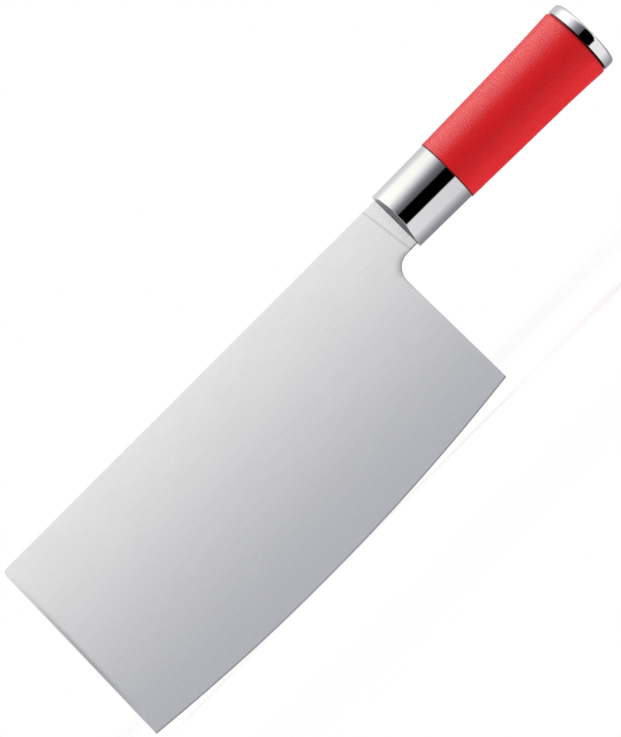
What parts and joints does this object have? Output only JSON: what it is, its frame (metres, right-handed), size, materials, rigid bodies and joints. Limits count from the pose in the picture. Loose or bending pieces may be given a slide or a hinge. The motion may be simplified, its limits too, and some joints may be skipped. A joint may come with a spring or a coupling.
{
  "type": "kitchen cleaver",
  "caption": "Rectangular kitchen cleaver: ground steel blade with a curved bevelled edge, polished ferrule and end cap, and a round flared grip with a grained red skin.",
  "frame": {"origin": "middle of the overall length, in the blade's mid-plane, level with the lowest point of the cutting edge", "axes": "+X along the handle from the blade to the butt, +Z from the cutting edge to the spine, +Y across the blade's thickness"},
  "size_m": [0.288, 0.0294, 0.0882],
  "materials": {
    "satin_steel": "satin ground",
    "polished_steel": "mirror polished",
    "plain_steel": "turned",
    "black_nylon": "as moulded",
    "red_grip": "fine leather grain",
    "black_rubber": "matt"
  },
  "bodies": {
    "root": {"blade": "satin_steel", "ferrule": "polished_steel", "ferrule_core": "black_nylon", "tang_rod": "plain_steel", "tang_pins": "plain_steel", "grip_core": "black_nylon", "grip_skin": "red_grip", "rear_bush": "plain_steel", "rear_washer": "plain_steel", "spring_washer": "plain_steel", "clamp_nut": "plain_steel", "gasket_ring": "black_rubber", "end_cap": "polished_steel"}
  },
  "joints": []
}
